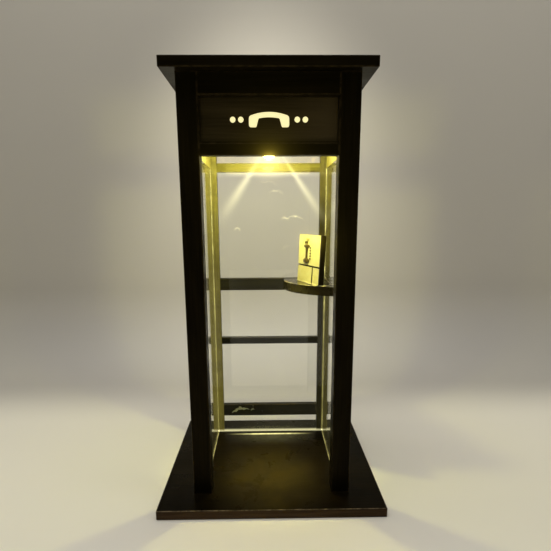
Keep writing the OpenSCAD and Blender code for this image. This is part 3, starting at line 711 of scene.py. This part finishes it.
def back_wall_glow(tree, here):
    """Painted light from the lamp in the back wall: an even haze, two streaks that spread from the lamp,
    a few lit smears, and the lit top and foot."""
    parts = split(tree, here)
    sideways, z = calc(tree, "ABSOLUTE", parts[0]), parts[2]
    back_face = back_low[1]
    halo_strength, foot_strength, rail_strength = 0.30, 0.45, 0.14
    light = product(tree, wander(tree, here, 14.0, 0.004, 0.014),
                    ramp(tree, z, 0.05, back_high[2], 0.55, 1.0))
    for start_x, drift, width, spread, strength in STREAKS:
        way = np.array([drift, 0, -1.0]) / np.hypot(drift, 1.0)
        start = (start_x * MM, back_face, lamp_centre[2] + 3 * MM)
        streak = use(tree, light_streak, Vector=here, Start=start, Direction=tuple(way),
                     Width=width * MM, Spread=spread, Length=72 * MM)["Mask"]
        light = calc(tree, "MULTIPLY_ADD", streak, strength, light)
    from_lamp = vector_calc(tree, "SUBTRACT", here, (0, back_face, lamp_centre[2] + 1 * MM))
    oval = vector_calc(tree, "MULTIPLY", from_lamp, (0.75, 0, 1))
    halo = fall(tree, vector_calc(tree, "LENGTH", oval, out=1), 0.0, 19 * MM)
    light = calc(tree, "MULTIPLY_ADD", halo, halo_strength, light)
    for across, up, radius, width, reach, strength in LIT_SMEARS:
        mark = use(tree, curl, Vector=here, Centre=(across * MM, back_face, (up - radius) * MM),
                   Radius=radius * MM, Width=width * MM, Middle=(across * MM, back_face, up * MM),
                   Reach=reach * MM)["Mask"]
        light = calc(tree, "MULTIPLY_ADD", mark, strength, light)
    foot = step_near(tree, z, back_low[2], 0.4, 2.4, 1.0, 0.0)
    light = calc(tree, "MULTIPLY_ADD", foot, foot_strength, light)
    rail_foot = places("back_transom_rail")[0][2]
    below = step_near(tree, z, rail_foot, -5.0, -1.5)
    above = step_near(tree, z, rail_foot, -0.6, 0, 1.0, 0.0)
    to_middle = ramp(tree, sideways, 22 * MM, 46 * MM, 1.0, 0.2)
    light = calc(tree, "MULTIPLY_ADD", product(tree, to_middle, below, above), rail_strength, light)
    return blend_colours(tree, light, UNLIT, BACK_GLOW)


def plain_finish(name, colour, rough, spread=0.08, scale=120.0, **fixed):
    """Moulded or painted stock: one colour that drifts a little, roughness that wanders, fine grain."""
    material, tree, shader, here = new_finish(name, **fixed)
    drift = use(tree, handling, Vector=here, Scale=scale, Low=rough, High=rough + spread)
    tone = blend_colours(tree, drift["Mask"], colour + (1,), stronger(colour, 0.82))
    feed(tree, shader, Base_Color=tone, Roughness=drift["Roughness"])
    bump(tree, shader, noise(tree, here, 2200.0, 2.0), 0.12, 0.05 * MM)
    return material


def glowing_finish(name, colour, strength, fade=0.12):
    """Stock that gives out light, with a slow change in brightness."""
    material, tree, shader, here = new_finish(name, Emission_Strength=strength, Roughness=0.4)
    light = blend_colours(tree, 1.0, colour + (1,), wander(tree, here, 60.0, 1.0 - fade, 1.0), "MULTIPLY")
    feed(tree, shader, Emission_Color=light, Base_Color=light)
    return material


def sleeve_finish():
    """Battery cells: bare steel ends and a dark sleeve with a copper band."""
    material, tree, shader, here = new_finish("cell sleeve")
    low, high = places("battery_cells")
    off_middle = calc(tree, "SUBTRACT", split(tree, here)[1], (low[1] + high[1]) / 2)
    from_middle = calc(tree, "ABSOLUTE", off_middle)
    half = (high[1] - low[1]) / 2
    steel = step_near(tree, from_middle, half, -2.2, -2.0)
    band = step_near(tree, from_middle, half, -9.0, -8.8)
    sleeve = blend_colours(tree, band, (0.035, 0.037, 0.042, 1), (0.42, 0.17, 0.06, 1))
    feed(tree, shader, Base_Color=blend_colours(tree, steel, sleeve, (0.60, 0.60, 0.58, 1)),
         Metallic=steel, Roughness=wander(tree, here, 150.0, 0.22, 0.38))
    return material


def face_finish():
    """The telephone's cream painted face: warm, and brown where it is cut."""
    material, tree, shader, here = new_finish("telephone face")
    drift = use(tree, handling, Vector=here, Scale=110.0, Low=0.45, High=0.6)
    paint = blend_colours(tree, drift["Mask"], (0.80, 0.78, 0.48, 1), (0.74, 0.70, 0.36, 1))
    from_foot = vector_calc(tree, "SUBTRACT", here, tuple(phone_foot))
    stands_out = vector_calc(tree, "DOT_PRODUCT", from_foot, tuple(phone_out), out=1)
    painted = step_near(tree, stands_out, phone_face, -0.35, -0.15)
    feed(tree, shader, Base_Color=blend_colours(tree, painted, CUT_BOARD, paint),
         Roughness=drift["Roughness"])
    bump(tree, shader, noise(tree, here, 1400.0, 3.0), 0.15, 0.06 * MM)
    return material


def handset_finish():
    """Dark brown stain, rubbed paler in patches."""
    material, tree, shader, here = new_finish("rubbed brown stain", Specular_IOR_Level=0.3)
    drift = use(tree, handling, Vector=here, Scale=330.0, Low=0.3, High=0.5)
    tone = blend_colours(tree, drift["Mask"], (0.030, 0.018, 0.007, 1), (0.150, 0.110, 0.040, 1))
    feed(tree, shader, Base_Color=tone, Roughness=drift["Roughness"])
    return material


def dress(material, *nodes):
    """Puts a material on frame nodes."""
    for node in nodes:
        mesh = frame["nodes"][node].data
        mesh.materials.clear()
        mesh.materials.append(material)


for node in ("front_left_post", "front_right_post"):
    dress(espresso_wood(node, "z"), node)
for node, inside in (("back_left_post", 0.85), ("back_right_post", 0.10)):
    dress(back_post_wood(node, inside), node)
for node in ("front_lintel", "front_top_rail", "back_header_rail", "roof_board", "sign_bead"):
    dress(espresso_wood(node, "x"), node)
# each rail's pale is painted lamp light, strongest on the rail nearest the lamp
for node, pale in (("back_upper_rail", 3.4), ("back_middle_rail", 1.2), ("back_lower_rail", 0.7)):
    dress(espresso_wood(node, "x", 0.30, pale, light=OLIVE_LIGHT), node)
dress(shelf_wood(), "corner_shelf")
# pale 24 is painted lamp light on the transom rail just under the lamp
dress(espresso_wood("back_transom_rail", "x", 0.26, 24.0, light=OLIVE_LIGHT), "back_transom_rail")
dress(base_wood(), "base_plate")
dress(espresso_wood("telephone_board", "z", 0.4), "telephone_board")
for node in ("ceiling_board", "ceiling_cleats", "roof_battens"):
    dress(pale_wood(node, "y"), node)
for node in ("left_header_board", "right_header_board"):
    dress(header_wood(node), node)
dress(sign_board_finish(), "sign_panel")
dress(clear_wall("clear side wall", side_wall_glow), "left_wall", "right_wall")
dress(clear_wall("clear back wall", back_wall_glow), "back_wall")
dress(glowing_finish("cream sheet", (0.80, 0.72, 0.42), 0.5), "sign_diffuser")
dress(glowing_finish("lit lens", (1.0, 0.93, 0.55), 4.6), "lamp_lens")
dress(glowing_finish("led phosphor", (1.0, 0.85, 0.25), 6.0), "led_chip")
dress(plain_finish("lamp white", (0.80, 0.79, 0.72), 0.35), "lamp_housing")
dress(plain_finish("circuit board white", (0.82, 0.83, 0.80), 0.4), "led_board")
dress(plain_finish("bright ring", (0.80, 0.79, 0.76), 0.12, Metallic=1.0), "lamp_ring")
dress(plain_finish("reflector", (0.85, 0.85, 0.84), 0.10, Metallic=1.0), "lamp_reflector")
dress(plain_finish("black moulding", (0.018, 0.018, 0.020), 0.42), "battery_holder", "switch_body")
dress(sleeve_finish(), "battery_cells")
dress(plain_finish("red key", (0.42, 0.012, 0.010), 0.22, Coat_Weight=0.4), "switch_rocker")
plated_steel = plain_finish("plated steel", (0.55, 0.55, 0.53), 0.25, Metallic=1.0)
dress(plated_steel, "switch_tabs", "base_screws", "shelf_screws", "ceiling_screws", "lamp_screws")
dress(face_finish(), "telephone_face")
dress(plain_finish("brown stain", (0.045, 0.026, 0.010), 0.35), "telephone_buttons")
dress(handset_finish(), "telephone_cradle")
dress(plain_finish("plate paint", (0.34, 0.30, 0.13), 0.4), "telephone_plate")


# ---------- lit sign ----------

def handset_outline(half, bow, bar, cup):
    """A telephone handset lying on its side, seen square on: a bar that bows upwards as a parabola,
    with a cup hanging under each end. Quarter circles round the ends."""
    round_by, cup_from, cup_rise = 1.3 * MM, 0.50 * half, 0.16 * half
    x = np.linspace(-half, half, 121)
    end = np.clip((np.abs(x) - half + round_by) / round_by, 0, 1)
    round_end = round_by * (1 - np.sqrt(np.maximum(1 - end ** 2, 0)))
    arch = bow * (1 - (x / half) ** 2)
    step = np.clip((np.abs(x) - cup_from) / cup_rise, 0, 1)
    step = step * step * (3 - 2 * step)
    top_side = np.c_[x, arch + bar - round_end]
    low_side = np.c_[x, arch * (1 - step) - cup * step + round_end]
    return np.concatenate([top_side, low_side[::-1]])


def make_sign():
    """The lit sign: a plain handset with two round lights on either side of it."""
    thickness, light_radius, light_up = 0.5 * MM, 1.7 * MM, 1.0 * MM
    turn = np.radians(np.linspace(0, 360, 33)[:-1])
    outlines = [handset_outline(12.5 * MM, 2.4 * MM, 3.0 * MM, 3.4 * MM)]
    for x in (-22.5 * MM, -17.5 * MM, 17.5 * MM, 22.5 * MM):
        outlines.append(np.c_[x + light_radius * np.cos(turn), light_up + light_radius * np.sin(turn)])
    piece = flat_cut("lit_sign", outlines, thickness, 0.08 * MM)
    centre = middle("sign_panel")
    stand = (centre[0], sign_low[1] - thickness / 2, centre[2] - 0.8 * MM)
    place_flat(piece, stand, (1, 0, 0), (0, 0, 1), (0, -1, 0))
    weld(piece.data)
    piece.data.materials.append(glowing_finish("lit sign", (0.90, 0.82, 0.42), 0.95, fade=0.05))
    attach(piece, "booth")


make_sign()


# ---------- leads and springs ----------

LEAD_RADIUS = 0.65 * MM
# half the width, thickness and height of a contact plate
PLATE = np.array((3.5, 0.25, 4.0)) * MM


def lead_piece(name, points, material, replaced):
    """A soft insulated lead: a round tube along the smooth curve through the points, a little
    thicker at both ends, where it is soldered."""
    path = smooth_route(points, 12)
    share = np.linspace(0, 1, len(path))
    solder = 0.28 * np.exp(-(np.minimum(share, 1 - share) / 0.03) ** 2)
    points, faces = tube(path, LEAD_RADIUS * (1 + solder), 16)
    piece = mesh_piece(name, points, faces)
    piece.data.materials.append(material)
    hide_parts(replaced)
    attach(piece, "booth")


def make_leads():
    """The three leads: from the cells to the switch, from the switch to the circuit board, and back."""
    holder_low, holder_high = places("battery_holder")
    plates_low, plates_high = places("battery_contacts")
    tabs_low, tabs_high = places("switch_tabs")
    first_x, last_x = plates_low[0] + PLATE[0], plates_high[0] - PLATE[0]
    tab_y, tab_z = tabs_low[1], (tabs_low[2] + tabs_high[2]) / 2
    tab_half, touching, hole_side = 1.5 * MM, 0.4 * MM, 1.6 * MM
    left_tab, right_tab = tabs_low[0] + tab_half, tabs_high[0] - tab_half
    front, back, side = holder_low[1], holder_high[1], holder_high[0]
    floor, y = holder_low[2], lamp_centre[1]
    level = floor + 6 * MM
    board_top = places("led_board")[1][2] + 0.35 * MM
    black = plain_finish("black lead", (0.02, 0.02, 0.02), 0.4)
    red = plain_finish("red lead", (0.45, 0.02, 0.015), 0.4)
    lead_piece("battery_to_switch", [
        (last_x, back + touching, level), (last_x + 3 * MM, back + 5 * MM, level + 1 * MM),
        (left_tab - 8.8 * MM, tab_y - 9 * MM, tab_z - 4 * MM), (left_tab, tab_y - 6 * MM, tab_z),
        (left_tab, tab_y - touching, tab_z)], black, "battery_lead")
    lead_piece("switch_to_board", [
        (right_tab, tab_y - touching, tab_z), (right_tab, tab_y - 7 * MM, tab_z),
        (18 * MM, y + 12 * MM, floor + 9 * MM), (6 * MM, y + 1 * MM, floor + 5 * MM),
        (hole_side, y, floor - 1 * MM), (hole_side, y, board_top)], black, "switch_lead")
    lead_piece("board_to_battery", [
        (first_x, front - touching, level), (first_x + 2 * MM, front - 4 * MM, level),
        ((holder_low[0] + side) / 2, front - 6 * MM, level - 1 * MM),
        (side - 3 * MM, front - 5 * MM, level), (side + 3 * MM, front + 2 * MM, level),
        (min(side + 3.5 * MM, -2.5 * MM), y - 14 * MM, level),
        (-2 * MM, y - 5 * MM, floor + 3.5 * MM), (-hole_side, y, floor - 1 * MM),
        (-hole_side, y, board_top)], red, "return_lead")


def rounded_plate(centre, corner):
    """Points and faces of a contact plate square to y: a rectangle with quarter-circle corners."""
    angle = np.radians(np.arange(0, 360, 11.25))
    grown_x = np.sign(np.cos(angle)) * (PLATE[0] - corner) + corner * np.cos(angle)
    grown_z = np.sign(np.sin(angle)) * (PLATE[2] - corner) + corner * np.sin(angle)
    rings = [np.c_[grown_x * size, np.full(len(angle), depth * PLATE[1]), grown_z * size] + centre
             for depth, size in ((-1, 0.94), (-0.5, 1.0), (0.5, 1.0), (1, 0.94))]
    return np.concatenate(rings), closed_rings(len(rings), len(angle))


def make_contacts():
    """The cells' contacts: at one end of each cell a flat plate, at the other a plate with a coil
    spring, which is a round wire along a helix that narrows towards the cell."""
    coil_turns, coil_radius, coil_narrows = 2.6, 3.1 * MM, 1.5 * MM
    coil_length, coil_off = 1.6 * MM, 0.75 * MM
    low, high = places("battery_contacts")
    cells_low, cells_high = places("battery_cells")
    pitch = (cells_high[0] - cells_low[0] - (cells_high[2] - cells_low[2])) / 2
    middle_z = (low[2] + high[2]) / 2
    parts = []
    for k in range(3):
        x = low[0] + PLATE[0] + k * pitch
        for y in (low[1] + PLATE[1], high[1] - PLATE[1]):
            parts.append(rounded_plate(np.array([x, y, middle_z]), 1.0 * MM))
        inwards = -1 if k % 2 == 0 else 1
        start = high[1] - coil_off if inwards < 0 else low[1] + coil_off
        turn = np.linspace(0, coil_turns * 2 * math.pi, 90)
        share = turn / turn[-1]
        reach = coil_radius - coil_narrows * share
        helix = np.c_[x + reach * np.cos(turn), start + inwards * coil_length * share,
                      middle_z + reach * np.sin(turn)]
        parts.append(tube(helix, 0.24 * MM, 8))
    piece = mesh_piece("cell_contacts", *joined(parts))
    weld(piece.data)
    piece.data.materials.append(plated_steel)
    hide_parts("battery_contacts")
    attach(piece, "booth")


# ---------- telephone ----------

def make_handset():
    """The telephone's low-relief handset, one closed skin. Going up, its cross-section is half an
    oval on the face. The oval's half-width is the grip's, swollen to a cup by a rounded bump near
    each end, and drawn in to nothing at the two tips by a quarter circle."""
    grip, tip_length, relief, seam = 2.1 * MM, 1.3 * MM, 0.75 * MM, 0.02 * MM
    thinnest_half, thinnest = 0.05 * MM, 0.03 * MM
    shape = (corners("telephone_handset") - phone_foot) @ np.array([phone_along, phone_up, phone_out]).T
    centre = (shape[:, 0].min() + shape[:, 0].max()) / 2
    low, high = shape[:, 1].min(), shape[:, 1].max()
    cup = (shape[:, 0].max() - shape[:, 0].min()) / 2
    z = low + (high - low) * (1 - np.cos(np.linspace(0, math.pi, 46))) / 2
    near_low = np.exp(-(np.abs(z - low - 2.0 * MM) / (1.9 * MM)) ** 4)
    near_high = np.exp(-(np.abs(z - high + 1.5 * MM) / (1.3 * MM)) ** 4)
    tip = np.clip(np.minimum(z - low, high - z) / tip_length, 0.0, 1.0)
    close = np.sqrt(1 - (1 - tip) ** 2)
    half = grip + (cup - grip) * np.maximum(near_low, 0.93 * near_high)
    half = np.maximum(half * close, thinnest_half)
    thick = np.maximum(relief * (1 + np.maximum(near_low, near_high)) * close, thinnest)
    angle = np.radians(np.linspace(0, 360, 32, endpoint=False))
    across = centre + half[:, None] * np.cos(angle)[None, :]
    proud = phone_face + seam + thick[:, None] * np.maximum(np.sin(angle), 0.0)[None, :]
    points = (phone_foot + across[..., None] * phone_along + z[:, None, None] * phone_up
              + proud[..., None] * phone_out)
    piece = mesh_piece("handset_relief", points.reshape(-1, 3), closed_rings(len(z), len(angle)))
    weld(piece.data)
    piece.data.materials.append(handset_finish())
    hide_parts("telephone_handset")
    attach(piece, "booth")


def make_glue_bead():
    """A bead of set glue along the telephone's foot: a tube whose thickness is rippled by two sines,
    with two strings, thin tubes along smooth curves, that run over the shelf to the side wall."""
    shelf_top = places("corner_shelf")[1][2]
    share = np.linspace(0.02, 0.98, 90)
    ripple = 0.42 + 0.16 * np.sin(37 * share + 0.6) + 0.10 * np.sin(91 * share)
    bead = (phone_foot + share[:, None] * phone_length * phone_along
            + (phone_face + 0.55 * MM) * phone_out)
    bead[:, 2] = shelf_top + 0.28 * MM
    near = np.array((phone_foot[0], phone_foot[1], shelf_top))
    wall = (right_low[0] - phone_foot[0]) / MM
    strings = (((-4, -0.5, 0.4), (-0.5, -2, 0.3), (3, -1, 0.3), (wall - 0.5, 4, 0.6)),
               ((1, 2, 7.5), (3, 1, 4), (wall - 0.4, -1, 0.8)))
    parts = [tube(bead, ripple * MM, 10)]
    for string in strings:
        parts.append(tube(smooth_route(near + np.array(string) * MM, 10), 0.25 * MM, 8))
    piece = mesh_piece("glue_bead", *joined(parts))
    piece.data.materials.append(plain_finish("set glue", (0.74, 0.70, 0.46), 0.18, Specular_IOR_Level=0.6))
    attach(piece, "booth")


# the film scraps: left and right end, height, rise and half-width (millimetres), and ripple's start
SCRAPS = ((-36.0, -19.2, 3.4, 4.6, 1.9, 0.4), (-18.4, -14.6, 6.2, 1.0, 0.8, 2.0),
          (-16.5, -15.9, 6.6, 4.4, 0.35, 1.0))


def make_film_scraps():
    """Scraps of torn film left on the back wall over the lowest rail. Each is a thin curved wisp: an
    arched middle line with a half-width that swells and tapers, both rippled by sines."""
    t = np.linspace(0, 1, 40)
    outlines = []
    for left, right, up, lift, wide, phase in SCRAPS:
        x = left + (right - left) * t
        arch = lift * np.sin(math.pi * np.minimum(1.35 * t, 1) / 1.5)
        middle_z = up + arch + 0.35 * np.sin(17 * t + phase)
        half = wide * (np.sin(math.pi * np.clip(t, 0.02, 0.98)) ** 0.8) * (1.15 - 0.75 * t)
        half = half * (1 + 0.28 * np.sin(29 * t + phase) + 0.16 * np.sin(61 * t))
        upper = np.c_[x, middle_z + half]
        lower = np.c_[x, middle_z - 0.8 * half][::-1]
        outlines.append(np.concatenate([upper, lower]) * MM)
    piece = flat_cut("film_scraps", outlines, 0.08 * MM, 0.02 * MM)
    stand = (0, back_low[1] - 0.12 * MM, places("back_lower_rail")[0][2])
    place_flat(piece, stand, (1, 0, 0), (0, 0, 1), (0, -1, 0))
    weld(piece.data)
    piece.data.materials.append(plain_finish("torn film", (0.30, 0.31, 0.20), 0.35, spread=0.2, scale=420.0))
    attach(piece, "booth")


make_leads()
make_contacts()
make_handset()
make_glue_bead()
make_film_scraps()


# ---------- stage and light ----------

def paper_finish():
    """Pale paper that is seen only from its front, so that the wall hides nothing from behind."""
    material, tree, shader, here = new_finish("pale paper")
    y, z = split(tree, here)[1:]
    floor = blend_colours(tree, ramp(tree, y, 0.09, 0.22), (0.80, 0.77, 0.68, 1), (0.46, 0.44, 0.40, 1))
    tone = blend_colours(tree, ramp(tree, z, 0.02, 0.13), floor, (0.58, 0.55, 0.48, 1))
    feed(tree, shader, Base_Color=tone, Roughness=wander(tree, here, 3.0, 0.55, 0.7))
    clear_where(tree, shader, tree.nodes.new("ShaderNodeNewGeometry").outputs["Backfacing"])
    return material


def make_stage():
    """A pale floor that runs to a plain wall behind, with a soft bend between them, and the same
    floor all round for looks from behind."""
    reach, wall_y, wall_top, bend, under = 1.6, 0.31, 1.9, 0.11, 0.4 * MM
    paper = paper_finish()
    turn = np.radians(np.linspace(-90, 0, 13))
    corner = np.c_[wall_y - bend + bend * np.cos(turn), bend + bend * np.sin(turn)]
    swept = np.concatenate([[(-reach, 0.0)], corner, [(wall_y, wall_top)]])
    flat = np.array([(-reach, -under), (reach, -under)])
    across = np.linspace(-reach, reach, 3)
    for name, profile in (("floor_and_wall", swept), ("floor_all_round", flat)):
        y, x = np.meshgrid(profile[:, 0], across, indexing="ij")
        z = np.repeat(profile[:, 1:], len(across), axis=1)
        points = np.stack([x, y, z], axis=-1).reshape(-1, 3)
        stage = mesh_piece(name, points, grid_faces(len(profile), len(across)))
        stage.data.materials.append(paper)


def aimed(place, target):
    """The placing of a light that stands at a place and points at a target."""
    away = Vector(place) - Vector(target)
    return Matrix.Translation(place) @ away.to_track_quat("Z", "Y").to_matrix().to_4x4()


def new_light(name, kind, power, colour, soft, cone=None):
    """A light of a kind. soft is its radius, or the side of an area light, and cone a spot's angle."""
    light = bpy.data.lights.new(name, kind)
    light.energy = power
    light.color = colour
    if kind == "AREA":
        light.size = soft
    else:
        light.shadow_soft_size = soft
    if kind == "SPOT":
        light.spot_size = math.radians(cone)
        light.spot_blend = 1.0
    lamp = bpy.data.objects.new(name, light)
    scene.collection.objects.link(lamp)
    return lamp


def make_lights():
    """Soft studio light from above and from the right, a soft light on the wall behind, the booth's
    own warm lamp with its beam, and a dim room."""
    ceiling = new_light("ceiling_light", "AREA", 13.0, (1.0, 0.97, 0.92), 1.2)
    ceiling.matrix_world = aimed((-0.10, -0.05, 1.25), (0, 0, 0))
    right = new_light("right_light", "AREA", 1.2, (1.0, 0.98, 0.95), 0.6)
    right.matrix_world = aimed((0.9, -0.3, 0.9), (0.1, 0.3, 0.1))
    wall = new_light("wall_light", "SPOT", 8.0, (1.0, 0.96, 0.84), 0.05, 48)
    wall.matrix_world = aimed((0, -0.02, 0.66), (0, 0.31, 0.21))
    bulbs = (new_light("booth_lamp", "POINT", 0.52, (1.0, 0.93, 0.28), 4.5 * MM),
             new_light("booth_beam", "SPOT", 2.6, (1.0, 0.93, 0.42), 4.5 * MM, 47))
    for bulb in bulbs:
        bulb.location = (lamp_centre[0], lamp_centre[1], lens_foot - 5.5 * MM)
        bulb.visible_glossy = False
        bulb.visible_transmission = False
        bulb.parent = frame["bodies"]["booth"]
    world = bpy.data.worlds.new("room")
    world.use_nodes = True
    world.node_tree.nodes["Background"].inputs["Color"].default_value = (0.9, 0.95, 1.0, 1)
    world.node_tree.nodes["Background"].inputs["Strength"].default_value = 0.03
    scene.world = world
    scene.view_settings.view_transform = "Standard"


def make_lens_bloom():
    """The soft halo that a camera lens puts round the bright lamp."""
    scene.use_nodes = True
    tree = scene.node_tree
    tree.nodes.clear()
    layers = tree.nodes.new("CompositorNodeRLayers")
    bloom = tree.nodes.new("CompositorNodeGlare")
    bloom.glare_type = "BLOOM"
    bloom.inputs["Threshold"].default_value = 1.3
    bloom.inputs["Tint"].default_value = (1.0, 0.84, 0.42, 1)
    bloom.inputs["Strength"].default_value = 2.4
    bloom.inputs["Size"].default_value = 0.38
    result = tree.nodes.new("CompositorNodeComposite")
    tree.links.new(layers.outputs["Image"], bloom.inputs["Image"])
    tree.links.new(bloom.outputs["Image"], result.inputs["Image"])


make_stage()
make_lights()
make_lens_bloom()
